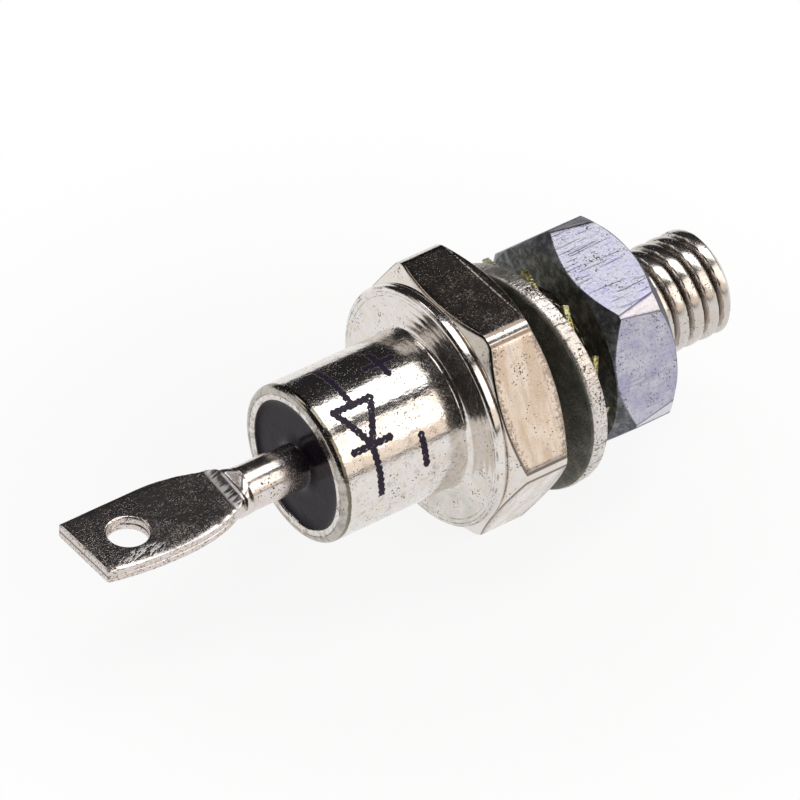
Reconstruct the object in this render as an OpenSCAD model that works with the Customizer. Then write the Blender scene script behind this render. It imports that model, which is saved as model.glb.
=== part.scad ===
// Stud-mounted fast recovery diode, lying on one flat of its hex.
// Every piece is drawn on its own axis: height runs from the seating face of the hex
// towards the solder lug, and the local X direction is up when the part lies down.

/* [Hex base] */
// Width of the hex across its flats
hex_af = 11.0; // [9.5:0.1:13]
// Thickness of the hex
hex_h = 2.95; // [2.4:0.05:4]
// How much the turning takes off each corner of the hex
hex_trim = 0.12; // [0.05:0.01:0.3]
// Set-back of the round face from the flats of the hex
hex_face_inset = 0.05; // [0.02:0.01:0.3]
// Slope of the turned bevels on the hex, in degrees
bevel = 29; // [20:1:35]

/* [Stud] */
// Outer diameter of the thread
stud_d = 4.826; // [4:0.01:5.2]
// Length of the stud below the seating face
stud_len = 11.3; // [10:0.1:16]
// Chamfer on the free end of the stud
stud_chamfer = 0.2; // [0.1:0.05:0.9]
// Diameter of the thread relief under the hex
relief_d = 3.9; // [3:0.05:3.95]
// Length of the thread relief under the hex
relief_len = 0.6; // [0.3:0.05:0.9]

/* [Cap] */
// Outer diameter of the can
can_d = 7.15; // [6.8:0.05:8]
// Wall of the can
can_wall = 0.64; // [0.4:0.02:0.75]
// Height of the can's rim above the seating face
can_top = 10.05; // [9.6:0.05:11]
// Set-back of the weld flange from the flats of the hex
flange_inset = 0.02; // [0:0.01:0.3]
// Thickness of the weld flange
flange_h = 0.55; // [0.45:0.01:0.8]
// Rounding of the flange's edge
flange_round = 0.2; // [0.05:0.01:0.22]
// Fillet between the flange and the can
can_fillet = 0.25; // [0.1:0.01:0.4]
// Rounding of the can's rim on the outside
rim_round = 0.28; // [0.1:0.01:0.3]
// Rounding of the can's rim on the inside
rim_lip = 0.08; // [0.03:0.01:0.09]

/* [Glass seal] */
// Depth of the glass below the rim
seal_recess = 0.2; // [0.1:0.05:0.5]
// Thickness of the glass
seal_h = 1.9; // [1.2:0.1:2.4]
// Rise of the glass where it wets the metal
seal_wet = 0.09; // [0:0.01:0.15]

/* [Terminal] */
// Outer diameter of the terminal tube
post_d = 2.06; // [1.8:0.02:2.4]
// Length of the tube that shows below the glass
post_tail = 0.65; // [0.3:0.05:1]
// Height of the end of the round tube above the seating face
post_end = 13.25; // [12.6:0.05:13.5]
// Length of the pressed ramp on the upper side
ramp_top = 0.65; // [0.4:0.05:1]
// Length of the pressed ramp on the lower side
ramp_low = 1.15; // [0.8:0.05:1.6]
// Height of the lug's tip above the seating face
lug_tip = 20.7; // [19.6:0.1:22]
// Thickness of the flattened lug
lug_t = 0.7; // [0.5:0.05:1]
// How far the lug's middle plane lies above the axis
lug_rise = 0.25; // [0:0.01:0.3]
// Greatest width of the lug
lug_w = 4.02; // [3.2:0.02:4.6]
// Distance of the widest place from the tip
lug_belly = 3.7; // [3:0.1:4.4]
// Width of the lug at its tip
lug_tip_w = 3.6; // [3:0.02:4]
// Sideways lean of the lug's tip
lug_skew = 0.23; // [0:0.01:0.4]
// Diameter of the wire hole in the lug
lug_hole_d = 1.8; // [1.4:0.05:2]
// Distance of the wire hole from the tip
lug_hole_from_tip = 2.1; // [1.8:0.05:2.6]

/* [Chip and lead] */
// Diameter of the pedestal on the hex
pedestal_d = 4.9; // [4.6:0.05:5]
// Height of the pedestal on the hex
pedestal_h = 0.6; // [0.3:0.05:0.9]
// Width of the square silicon chip
die_w = 2.8; // [2:0.05:3]
// Thickness of the silicon chip
die_t = 0.28; // [0.2:0.02:0.4]
// Thickness of each solder layer
solder_t = 0.1; // [0.06:0.01:0.15]
// Margin of the lower solder round the chip
solder_margin = 0.15; // [0.05:0.01:0.2]
// Diameter of the contact disc
disc_d = 2.5; // [2:0.05:2.7]
// Thickness of the contact disc
disc_t = 0.45; // [0.3:0.05:0.7]
// Set-back of the upper solder from the disc's edge
disc_lip = 0.15; // [0.05:0.01:0.25]
// Diameter of the inner lead
lead_d = 1.0; // [0.7:0.05:1.2]
// Diameter of the head of the inner lead
head_d = 1.8; // [1.5:0.05:2]
// Thickness of the head of the inner lead
head_t = 0.3; // [0.2:0.05:0.5]
// Room round the inner lead in the terminal tube
lead_clear = 0.05; // [0.03:0.01:0.08]

/* [Flat washer] */
// Outer diameter of the flat washer
flat_d = 10.4; // [9.4:0.1:10.6]
// Hole of the flat washer
flat_hole_d = 6.0; // [5.5:0.05:6.2]
// Thickness of the flat washer
flat_t = 0.8; // [0.7:0.02:1.1]
// Rolled-over edge on the blanked side of the flat washer
flat_roll = 0.25; // [0.1:0.01:0.3]
// How far the loose washers lean between the hex and the nut, in degrees
lean = 8; // [4:0.5:12]
// Way in which the flat washer has slipped on the stud, in degrees from straight down to the -Y side
flat_slip_way = 60; // [0:5:90]

/* [Lock washer] */
// Diameter over the teeth of the lock washer
lock_d = 9.5; // [8.8:0.1:10]
// Hole of the lock washer
lock_hole_d = 5.2; // [5.1:0.05:5.4]
// Diameter of the ring that carries the teeth
lock_ring_d = 7.4; // [6.8:0.1:7.8]
// Thickness of the lock washer's sheet
lock_t = 0.3; // [0.2:0.01:0.5]
// Number of teeth
lock_teeth = 12; // [8:1:14]
// Slot between two teeth at their tips
lock_slot = 0.85; // [0.5:0.05:1.1]
// Twist of each tooth from root to tip, in degrees
lock_twist = 27; // [12:1:30]
// Turn of the lock washer round the stud, in degrees
lock_turn = 27; // [0:1:45]

/* [Nut] */
// Width of the nut across its flats
nut_af = 9.15; // [8.6:0.05:10.4]
// Thickness of the nut
nut_h = 3.2; // [2.5:0.05:3.6]
// How much the turning takes off each corner of the nut on the washers' side
nut_trim = 0.08; // [0.03:0.01:0.3]
// How much the tapered turning takes off each corner of the nut on its free side
nut_free_trim = 0.26; // [0.1:0.01:0.4]
// Set-back of the round face from the flats of the nut
nut_face_inset = 0.05; // [0.02:0.01:0.4]
// Slope of the turned bevels on the nut, in degrees
nut_bevel = 45; // [20:1:50]
// Turn of the nut round the stud against the hex, in degrees
nut_turn = 13; // [0:1:60]
// Room between the loose lock washer and the nut
nut_room = 0.5; // [0.02:0.02:0.8]
// Radial room between the stud and the nut
thread_clear = 0.04; // [0.02:0.01:0.1]
// Countersink at each end of the nut's thread
nut_sink = 0.35; // [0.1:0.05:0.5]

/* [Hidden] */
$fn = 96;
arc_steps = 8;
// Room left where loose pieces rest on each other
rest_gap = 0.02;
// Depth to which the pressed neck runs into the tube's and the lug's surfaces
press_sink = 0.04;

hex_r = hex_af / 2;
stud_r = stud_d / 2;
can_r = can_d / 2;
bore_r = can_r - can_wall;
flange_r = hex_r - flange_inset;
flange_top = hex_h + flange_h;

seal_top = can_top - seal_recess;
seal_low = seal_top - seal_h;
post_r = post_d / 2;
post_low = seal_low - post_tail;

// The lug: its faces, the start of its flat part and its widest place
lug_face = lug_rise + lug_t / 2;
lug_back = lug_rise - lug_t / 2;
lug_start = post_end + ramp_top;
belly_at = lug_tip - lug_belly;
hole_at = lug_tip - lug_hole_from_tip;

// The chip's stack on its pedestal
pedestal_top = hex_h + pedestal_h;
die_low = pedestal_top + solder_t;
die_top = die_low + die_t;
disc_low = die_top + solder_t;
disc_top = disc_low + disc_t;
tube_r = lead_d / 2 + lead_clear;

// The washers lean as a pair: the flat one touches the hex, and the nut stands off the lock one
flat_r = flat_d / 2;
flat_slip = flat_hole_d / 2 - stud_r - rest_gap - flat_t * sin(lean) / 2;
flat_drop = flat_slip * cos(flat_slip_way);
flat_side = flat_slip * sin(flat_slip_way);
lock_r = lock_d / 2;
lock_drop = lock_hole_d / 2 - stud_r - rest_gap;
tooth_pitch = 360 / lock_teeth;
tooth_w = 2 * lock_r * sin(tooth_pitch / 2) - lock_slot;
tooth_root = lock_ring_d / 2;
tooth_root_w = tooth_w * tooth_root / lock_r;
tooth_half_h = (tooth_root_w * sin(lock_twist) + lock_t * cos(lock_twist)) / 2;
lean_reach = (flat_r - flat_roll - flat_side) * sin(lean) + (flat_t / 2 - flat_roll) * cos(lean) + flat_roll;
lean_at = -rest_gap - lean_reach;
lock_at = -flat_t / 2 - rest_gap - tooth_half_h;
lock_low = lock_at - tooth_half_h;
nut_face = lean_at - (lock_r - lock_at * tan(lean)) * sin(lean) + lock_low * cos(lean) - nut_room;

// Where the part lies: on the hex, or on the flat washer if that reaches lower
axis_z = max(hex_r, flat_r + flat_drop);
seat_x = (lug_tip - stud_len) / 2;

plated = "#c9c4b9";
zinc = "#bcc2d0";
chromate = "#b5a35e";

function arc(cx, cy, r, from, to) =
    [for (i = [0:arc_steps])
        let (a = from + (to - from) * i / arc_steps) [cx + r * cos(a), cy + r * sin(a)]];
function ease(u) = u * u * (3 - 2 * u);
function clamp(u) = min(1, max(0, u));
function mix(a, b, u) = a + (b - a) * u;
function spow(v, e) = sign(v) * pow(abs(v), e);

// Half the lug's width and the sideways shift of its middle, at a height above the seating face
function lug_half(s) =
    s < belly_at
        ? mix(lug_w / 2, post_r, pow(clamp((belly_at - s) / (belly_at - post_end)), 2.2))
        : mix(lug_w / 2, lug_tip_w / 2, pow(clamp((s - belly_at) / lug_belly), 2));
function lug_shift(s) = lug_skew * pow(clamp((s - belly_at) / lug_belly), 2);

// Lays a piece drawn upright on its axis down along X, with the lug towards -X
module laid() {
    translate([seat_x, 0, axis_z]) rotate([0, -90, 0]) children();
}

// The place of the two loose washers, at the middle of the flat one
module leaning() {
    translate([0, 0, lean_at]) rotate([lean, 0, 0]) children();
}

// A hexagon bar whose corners and faces are turned round, with its own trim of the corners at each end
module turned_hex(af, h, trim, low_trim, face_inset, slope) {
    corner_r = af / sqrt(3) - trim;
    low_r = af / sqrt(3) - low_trim;
    face_r = af / 2 - face_inset;
    fall = (corner_r - face_r) * tan(slope);
    low_fall = (low_r - face_r) * tan(slope);
    intersection() {
        rotate([0, 0, 30]) cylinder(d = af / cos(30), h = h, $fn = 6);
        rotate_extrude()
            polygon([[0, 0], [face_r, 0], [low_r, low_fall], [corner_r, h - fall], [face_r, h], [0, h]]);
    }
}

// Hex, threaded stud and chip pedestal, turned from one bar
module stud_base() {
    color(plated) laid() {
        turned_hex(hex_af, hex_h, hex_trim, hex_trim, hex_face_inset, bevel);
        cylinder(d = pedestal_d, h = pedestal_top);
        rotate_extrude()
            polygon([[0, hex_h / 2], [relief_d / 2, hex_h / 2], [relief_d / 2, -relief_len],
                     [stud_r, -relief_len - (stud_r - relief_d / 2)], [stud_r, stud_chamfer - stud_len],
                     [stud_r - stud_chamfer, -stud_len], [0, -stud_len]]);
    }
}

// Drawn cap: weld flange and can in one sheet
module weld_cap() {
    color(plated) laid() rotate_extrude()
        polygon(concat(
            [[bore_r, hex_h]],
            arc(flange_r - flange_round, hex_h + flange_round, flange_round, -90, 0),
            arc(flange_r - flange_round, flange_top - flange_round, flange_round, 0, 90),
            arc(can_r + can_fillet, flange_top + can_fillet, can_fillet, 270, 180),
            arc(can_r - rim_round, can_top - rim_round, rim_round, 0, 90),
            arc(bore_r + rim_lip, can_top - rim_lip, rim_lip, 90, 180)));
}

// Glass bead fused between the can and the terminal tube, with a wetted edge on both
module glass_seal() {
    wet = [for (i = [0:2 * arc_steps]) let (u = i / (2 * arc_steps))
        [mix(bore_r, post_r, u), seal_top + seal_wet * pow(2 * u - 1, 4)]];
    color("#2b2630") laid() rotate_extrude()
        polygon(concat([[post_r, seal_low], [bore_r, seal_low]], wet));
}

// The pressed part between the round tube and the flat lug: rings that go from round to square on
// their upper half, and stay round below until they run out. It starts just inside the tube's end and
// ends just inside the lug, so both meet it at a crease.
module pressed_neck() {
    rings = 18;
    sides = 40;
    length = ramp_low + press_sink;
    round_r = post_r - press_sink;
    points = [for (i = [0:rings])
        let (d = length * i / rings,
             top = mix(round_r, lug_face, d / ramp_top),
             low = mix(-round_r, lug_back, d / ramp_low),
             s = post_end + d)
        for (k = [0:sides - 1])
            let (a = 360 * k / sides,
                 upper = max(top, lug_face - press_sink),
                 pressed = cos(a) < 0 ? pow(i / rings, 4) : ease(i / rings),
                 square = 2 / mix(2, 12, pressed))
            [(upper + low) / 2 + (upper - low) / 2 * spow(cos(a), square),
             (lug_half(s) - press_sink) * spow(sin(a), square), s]];
    walls = [for (i = [0:rings - 1], k = [0:sides - 1])
        let (a = i * sides + k, b = i * sides + (k + 1) % sides)
        each [[a, a + sides, b], [b, a + sides, b + sides]]];
    polyhedron(points, concat(walls, [[for (k = [0:sides - 1]) k]],
        [[for (k = [sides - 1:-1:0]) rings * sides + k]]));
}

// Terminal tube, pressed flat at its outer end into a solder lug with a wire hole
module terminal_lug() {
    steps = 24;
    edge = [for (i = [0:steps]) mix(lug_start, lug_tip, i / steps)];
    outline = concat([for (s = edge) [lug_shift(s) + lug_half(s), s]],
        [for (i = [steps:-1:0]) [lug_shift(edge[i]) - lug_half(edge[i]), edge[i]]]);
    color(plated) laid() difference() {
        union() {
            translate([0, 0, post_low]) cylinder(r = post_r, h = post_end - post_low);
            pressed_neck();
            translate([lug_back, 0, 0]) rotate([90, 0, 90]) linear_extrude(height = lug_t) polygon(outline);
        }
        translate([0, 0, post_low - 1]) cylinder(r = tube_r, h = post_end - post_low + 1);
        translate([lug_back - 1, 0, hole_at]) rotate([0, 90, 0]) cylinder(d = lug_hole_d, h = lug_t + 2);
    }
}

// A square layer of the chip's stack
module square_layer(w, t, at) {
    translate([-w / 2, -w / 2, at]) cube([w, w, t]);
}

// Silicon chip
module silicon_die() {
    color("#55565e") laid() square_layer(die_w, die_t, die_low);
}

// Solder between the pedestal and the chip
module lower_solder() {
    color("#9a9a98") laid() square_layer(die_w + 2 * solder_margin, solder_t, pedestal_top);
}

// Solder between the chip and the contact disc
module upper_solder() {
    color("#9a9a98") laid() translate([0, 0, die_top]) cylinder(d = disc_d - 2 * disc_lip, h = solder_t);
}

// Contact disc that takes up the strain between the chip and the lead
module contact_disc() {
    color("#8d8a86") laid() translate([0, 0, disc_low]) cylinder(d = disc_d, h = disc_t);
}

// Headed copper lead from the contact disc up into the terminal tube
module inner_lead() {
    color("#b5714a") laid() {
        translate([0, 0, disc_top]) cylinder(d = head_d, h = head_t);
        translate([0, 0, disc_top]) cylinder(d = lead_d, h = post_end - disc_top);
    }
}

// Blanked flat washer with its rolled-over edge towards the hex
module flat_washer() {
    hole_r = flat_hole_d / 2;
    color("#a9a8a6") laid() leaning() translate([-flat_drop, -flat_side, 0]) rotate_extrude()
        polygon(concat([[hole_r, -flat_t / 2], [flat_r, -flat_t / 2]],
            arc(flat_r - flat_roll, flat_t / 2 - flat_roll, flat_roll, 0, 90),
            [[hole_r, flat_t / 2]]));
}

// One tooth of the lock washer, which widens and twists from its root out
module lock_tooth() {
    reach = lock_r - tooth_root;
    translate([tooth_root, 0, 0]) rotate([0, 90, 0])
        linear_extrude(height = reach, twist = lock_twist, scale = [1, lock_r / tooth_root],
                       slices = 8, $fn = 4)
            square([lock_t, tooth_root_w], center = true);
}

// Lock washer with external twisted teeth
module lock_washer() {
    overlap = 0.3;
    color(chromate) laid() leaning()
        translate([-lock_drop, lock_at * tan(lean), lock_at]) rotate([0, 0, lock_turn]) {
            difference() {
                cylinder(d = lock_ring_d + 2 * overlap, h = lock_t, center = true);
                cylinder(d = lock_hole_d, h = 2 * lock_t, center = true);
            }
            for (k = [0:lock_teeth - 1]) rotate([0, 0, k * tooth_pitch]) lock_tooth();
        }
}

// Hexagon nut, bevelled on both faces
module hex_nut() {
    hole_r = stud_r + thread_clear;
    color(zinc) laid() translate([0, 0, nut_face - nut_h]) rotate([0, 0, -nut_turn]) difference() {
        turned_hex(nut_af, nut_h, nut_trim, nut_free_trim, nut_face_inset, nut_bevel);
        translate([0, 0, -1]) cylinder(r = hole_r, h = nut_h + 2);
        translate([0, 0, nut_h - nut_sink]) cylinder(r1 = hole_r, r2 = hole_r + nut_sink, h = nut_sink);
        cylinder(r1 = hole_r + nut_sink, r2 = hole_r, h = nut_sink);
    }
}

stud_base();
weld_cap();
glass_seal();
terminal_lug();
silicon_die();
lower_solder();
upper_solder();
contact_disc();
inner_lead();
flat_washer();
lock_washer();
hex_nut();
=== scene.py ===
from math import acos, cos, exp, pi, radians, sin, sqrt, tan

import bpy
from mathutils import Matrix, Vector


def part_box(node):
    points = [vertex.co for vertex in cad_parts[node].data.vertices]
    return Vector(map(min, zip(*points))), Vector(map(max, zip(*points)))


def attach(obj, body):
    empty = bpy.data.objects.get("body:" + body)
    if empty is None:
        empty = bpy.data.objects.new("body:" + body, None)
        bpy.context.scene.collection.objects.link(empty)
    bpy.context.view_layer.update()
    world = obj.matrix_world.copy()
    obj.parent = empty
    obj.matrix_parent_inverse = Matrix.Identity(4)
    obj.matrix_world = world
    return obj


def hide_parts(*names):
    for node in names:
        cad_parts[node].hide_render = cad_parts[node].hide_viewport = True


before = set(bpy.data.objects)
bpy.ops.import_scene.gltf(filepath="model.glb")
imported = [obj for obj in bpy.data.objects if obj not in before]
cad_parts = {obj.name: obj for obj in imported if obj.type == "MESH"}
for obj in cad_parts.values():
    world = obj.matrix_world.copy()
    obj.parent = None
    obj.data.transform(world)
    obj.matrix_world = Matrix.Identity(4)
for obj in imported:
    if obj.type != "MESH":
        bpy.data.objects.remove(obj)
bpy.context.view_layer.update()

# Stud base: the hex, the threaded stud and the chip's pedestal, turned from one steel bar, with a
# rolled 10-32 thread and a bright nickel plate. Pieces are drawn upright in millimetres on the
# part's axis, with height counted from the seating face of the hex towards the lug.
MM = 0.001
base_low, base_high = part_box("stud_base")
hex_af = (base_high.z - base_low.z) / MM
hex_h = 2.95
hex_trim = 0.12
hex_face_inset = 0.05
hex_corner = 0.5
hex_edge = 0.12
hex_bevel = radians(29)
hex_points = 288
pedestal_r = 2.45
pedestal_h = 0.6
pedestal_edge = 0.06
stud_r = 2.413
stud_len = 11.3
stud_chamfer = 0.2
stud_points = 96
relief_r = 1.95
relief_len = 0.6
relief_edge = 0.1
thread_pitch = 0.794
thread_phase = 0.39
thread_lead_in = 1.5
pitch_rings = 24
crest_share = 0.64
crest_drop = 0.11
groove_deep = 0.34
base_colour = (0.76, 0.72, 0.69)
hex_stripe_tone = (0.82, 0.76, 0.71)
hex_edge_shade_colour = (0.13, 0.09, 0.065)
thread_dark_colour = (0.10, 0.075, 0.06)
seat = Vector((base_high.x - stud_len * MM, 0, (base_low.z + base_high.z) / 2))


def select_only(piece):
    """Makes a piece the only one that operators act on."""
    bpy.ops.object.select_all(action="DESELECT")
    piece.select_set(True)
    bpy.context.view_layer.objects.active = piece


def smooth(piece, angle):
    """Shades a piece smooth, apart from edges sharper than an angle."""
    select_only(piece)
    bpy.ops.object.shade_smooth_by_angle(angle=angle)


def lay_down(piece, place=Matrix()):
    """Lays an upright piece along the part's X axis, at its real size."""
    select_only(piece)
    upright = Matrix.Translation(seat) @ Matrix.Rotation(-pi / 2, 4, "Y") @ Matrix.Scale(MM, 4)
    piece.matrix_world = upright @ place
    bpy.ops.object.transform_apply(location=True, rotation=True, scale=True)


def lofted(name, rings, loop=False):
    """A closed skin over rings of points, for shapes that the modelling tools can't turn or cut cleanly:
    a ring may have a half or a third of the points of the one before it."""
    vertices = [p for ring in rings for p in ring]
    faces = []
    start = 0
    for ring, following in zip(rings, rings[1:]):
        after = start + len(ring)
        step = len(ring) // len(following)
        for k in range(len(following)):
            run = [start + (k * step + i) % len(ring) for i in range(step + 1)]
            faces.append(run + [after + (k + 1) % len(following), after + k])
        start = after
    count = len(rings[0])
    if loop:
        faces += [(start + k, start + (k + 1) % count, (k + 1) % count, k) for k in range(count)]
    else:
        faces.append(range(count - 1, -1, -1))
        faces.append(range(start, start + len(rings[-1])))
    mesh = bpy.data.meshes.new(name)
    mesh.from_pydata(vertices, [], [tuple(face) for face in faces])
    piece = bpy.data.objects.new(name, mesh)
    bpy.context.scene.collection.objects.link(piece)
    select_only(piece)
    bpy.ops.object.mode_set(mode="EDIT")
    bpy.ops.mesh.select_all(action="SELECT")
    bpy.ops.mesh.normals_make_consistent(inside=False)
    bpy.ops.object.mode_set(mode="OBJECT")
    return piece


def soft_least(a, b, blend):
    """The lesser of two values, rounded off where they lie close together."""
    near = max(blend - abs(a - b), 0) / blend
    return min(a, b) - near * near * blend / 4


def circle(r, s, count=hex_points):
    """A ring of points round the axis."""
    return [(r * cos(2 * pi * k / count), r * sin(2 * pi * k / count), s) for k in range(count)]


def hex_ring(af, r, s, corner, edge):
    """A ring round a hexagon bar with soft corners, no wider than the turning's radius; its points lie
    closer together by the line where the flat ends, and one of them lies on it."""
    flat_share = 0.625
    crowding = 1.4
    line_least = radians(6)
    line_most = radians(29)
    line = min(line_most, max(line_least, acos(min(1, af / 2 / r))))
    flat_points = hex_points // 6
    middle = flat_points // 2
    points = []
    for k in range(hex_points):
        sector, place = divmod(k, flat_points)
        t = abs(place / middle - 1)
        if t < flat_share:
            off = line * (1 - (1 - t / flat_share) ** crowding)
        else:
            off = line + (pi / 6 - line) * (t - flat_share) / (1 - flat_share)
        flat = soft_least(af / 2 / cos(off), af / 2 / cos(pi / 3 - off), corner)
        reach = soft_least(flat, r, edge)
        angle = pi / 3 * sector + (off if place > middle else -off)
        points.append((reach * cos(angle), reach * sin(angle), s))
    return points


def turned_hex(af, height, trim, low_trim, face_inset, slope, corner, edge):
    """Rings from the upper to the lower face of a hexagon whose corners and faces are turned, more or less
    at each end."""
    bevel_rings = 16
    side_rings = 10
    corner_r = af / sqrt(3) - trim
    low_r = af / sqrt(3) - low_trim
    face_r = af / 2 - face_inset
    fall = (corner_r - face_r) * tan(slope)
    low_fall = (low_r - face_r) * tan(slope)
    side = height - fall - low_fall
    turning = []
    for i in range(bevel_rings):
        turning.append((face_r + (corner_r - face_r) * i / bevel_rings, height - fall * i / bevel_rings))
    for i in range(side_rings):
        s = height - fall - side * i / side_rings
        turning.append((corner_r + (low_r - corner_r) * i / side_rings, s))
    for i in range(bevel_rings + 1):
        turning.append((low_r + (face_r - low_r) * i / bevel_rings, low_fall * (1 - i / bevel_rings)))
    return [hex_ring(af, r, s, corner, edge) for r, s in turning]


rings = [circle(pedestal_r - pedestal_edge, hex_h + pedestal_h),
         circle(pedestal_r, hex_h + pedestal_h - pedestal_edge),
         circle(pedestal_r, hex_h)]
rings += turned_hex(hex_af, hex_h, hex_trim, hex_trim, hex_face_inset, hex_bevel, hex_corner, hex_edge)
rings += [circle(relief_r + relief_edge, 0, stud_points), circle(relief_r, -relief_edge, stud_points)]

# The thread: broad round crests between grooves, which run out at the neck and at the end's chamfer
thread_low = -stud_len - thread_lead_in * thread_pitch + thread_phase
ring_count = round((stud_len - relief_len) / thread_pitch * pitch_rings)
for i in range(ring_count + 1):
    s = -relief_len - (stud_len - relief_len) * i / ring_count
    most = min(relief_r - relief_len - s, stud_r - stud_chamfer + s + stud_len)
    ring = []
    for k in range(stud_points):
        along = (s - thread_low) / thread_pitch - k / stud_points
        off = abs(2 * (along % 1) - 1)
        r = stud_r - crest_drop * off * off - groove_deep * max(0, (off - crest_share) / (1 - crest_share))
        r = min(r, most)
        ring.append((r * cos(2 * pi * k / stud_points), r * sin(2 * pi * k / stud_points), s))
    rings.append(ring)
stud_base = lofted("stud_base_plated", rings)
smooth(stud_base, radians(32))
lay_down(stud_base)


def add(tree, kind, inputs=None, **settings):
    """Adds a node, links or sets its inputs and sets its options."""
    node = tree.nodes.new(kind)
    for name, value in settings.items():
        setattr(node, name, value)
    for socket, value in (inputs or {}).items():
        if isinstance(value, bpy.types.NodeSocket):
            tree.links.new(value, node.inputs[socket])
        else:
            node.inputs[socket].default_value = value
    return node


def calc(tree, operation, a, b=0.0, c=0.0):
    """A Math node's result."""
    return add(tree, "ShaderNodeMath", {0: a, 1: b, 2: c}, operation=operation).outputs[0]


def times(tree, value, *factors):
    """The product of values."""
    for factor in factors:
        value = calc(tree, "MULTIPLY", value, factor)
    return value


def without(tree, share):
    """What is left of 1 when a share is taken away."""
    return calc(tree, "SUBTRACT", 1.0, share)


def window(tree, value, low, high):
    """Runs smoothly from 0 below low to 1 above high."""
    node = add(tree, "ShaderNodeMapRange", {"Value": value, "From Min": low, "From Max": high},
               interpolation_type="SMOOTHSTEP")
    return node.outputs["Result"]


def span(tree, value, low, high, soft):
    """1 between two values and 0 outside them."""
    above = window(tree, value, low - soft, low + soft)
    return times(tree, above, without(tree, window(tree, value, high - soft, high + soft)))


def tint(tree, share, a, b, blend="MIX"):
    """A colour between two, or with blend MULTIPLY the first one dimmed by the second."""
    node = add(tree, "ShaderNodeMix", {"Factor": share}, data_type="RGBA", blend_type=blend)
    for socket, value in ((node.inputs[6], a), (node.inputs[7], b)):
        if isinstance(value, bpy.types.NodeSocket):
            tree.links.new(value, socket)
        else:
            socket.default_value = (*value, 1)
    return node.outputs[2]


def noise(tree, place, scale, stretch=(1, 1, 1), turn=(0, 0, 0), detail=2.0, rough=0.5):
    """Noise in millimetres, turned, with a share of the scale along each axis."""
    size = [1 / (scale * k) for k in stretch]
    spot = add(tree, "ShaderNodeMapping", {"Vector": place, "Scale": size, "Rotation": turn},
               vector_type="TEXTURE")
    node = add(tree, "ShaderNodeTexNoise", {"Vector": spot.outputs[0], "Scale": 1.0, "Detail": detail,
                                            "Roughness": rough})
    return node.outputs["Fac"]


def group_tree(name, inputs, outputs):
    """A shader node group with named float inputs, a place in millimetres, and float outputs."""
    tree = bpy.data.node_groups.new(name, "ShaderNodeTree")
    tree.interface.new_socket("Place", in_out="INPUT", socket_type="NodeSocketVector")
    for socket in inputs:
        tree.interface.new_socket(socket, in_out="INPUT", socket_type="NodeSocketFloat")
    for socket in outputs:
        tree.interface.new_socket(socket, in_out="OUTPUT", socket_type="NodeSocketFloat")
    return tree, add(tree, "NodeGroupInput"), add(tree, "NodeGroupOutput")


# Marks in a plated surface: clumps of small pits, short fine scratches, a soft unevenness, a grain and
# specks of haze
marks, marks_in, marks_out = group_tree("plate_marks", ["Pit Share", "Scratch Share"],
                                        ["Pits", "Scratches", "Mottle", "Grain", "Haze"])
place = marks_in.outputs["Place"]
clump = noise(marks, place, 0.9, detail=1)
specks = noise(marks, place, 11.0, detail=1.5)
specks = calc(marks, "ADD", specks, calc(marks, "MULTIPLY_ADD", clump, 0.38, -0.19))
pit_edge = calc(marks, "SUBTRACT", 0.86, times(marks, marks_in.outputs["Pit Share"], 0.3))
pit_floor = calc(marks, "ADD", pit_edge, 0.06)
pits = add(marks, "ShaderNodeMapRange", {"Value": specks, "From Min": pit_edge, "From Max": pit_floor})
marks.links.new(pits.outputs["Result"], marks_out.inputs["Pits"])
scratch_ways = (((0.3, 0.5, 0.9), 0.05), ((1.1, 0.2, 2.2), 0.07), ((0.6, 1.4, 0.2), 0.06))
scratches = 0.0
for turn, stretch in scratch_ways:
    line = noise(marks, place, 22.0, (1, stretch, 1), turn, detail=1)
    scratches = calc(marks, "MAXIMUM", scratches, window(marks, line, 0.64, 0.72))
patch = window(marks, noise(marks, place, 0.55, detail=2), 0.42, 0.62)
scratches = times(marks, scratches, patch, marks_in.outputs["Scratch Share"])
marks.links.new(scratches, marks_out.inputs["Scratches"])
marks.links.new(noise(marks, place, 1.6, detail=4, rough=0.6), marks_out.inputs["Mottle"])
rough_patch = window(marks, noise(marks, place, 0.8, detail=3), 0.3, 0.7)
grain_share = calc(marks, "MULTIPLY_ADD", rough_patch, 0.8, 0.6)
grain = times(marks, noise(marks, place, 10.0, detail=3), grain_share)
marks.links.new(grain, marks_out.inputs["Grain"])
haze = calc(marks, "MAXIMUM",
            noise(marks, place, 12.0, (1, 0.35, 1), (0.4, 0.3, 0.7), detail=4, rough=0.7),
            noise(marks, place, 12.0, (0.35, 1, 1), (0.2, 0.5, 0.4), detail=4, rough=0.7))
haze_share = calc(marks, "MULTIPLY_ADD", rough_patch, 0.7, 0.5)
haze = times(marks, window(marks, haze, 0.50, 0.72), haze_share)
marks.links.new(haze, marks_out.inputs["Haze"])


def marked(tree, spot, pit_share, scratch_share):
    """The plate's marks, placed in a material with its own shares."""
    shares = {"Pit Share": pit_share, "Scratch Share": scratch_share}
    group = add(tree, "ShaderNodeGroup", shares, node_tree=marks)
    tree.links.new(spot, group.inputs["Place"])
    return group


def surface(name, slot_colour):
    """A new metal material and what the sections below build on: its tree, shader and place in mm."""
    material = bpy.data.materials.new(name)
    material.use_nodes = True
    material.diffuse_color = (*slot_colour, 1)
    tree = material.node_tree
    shader = tree.nodes["Principled BSDF"]
    shader.inputs["Metallic"].default_value = 1.0
    spot = add(tree, "ShaderNodeTexCoord").outputs["Object"]
    millimetres = add(tree, "ShaderNodeVectorMath", {0: spot, "Scale": 1 / MM}, operation="SCALE").outputs[0]
    return material, tree, shader, millimetres


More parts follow.
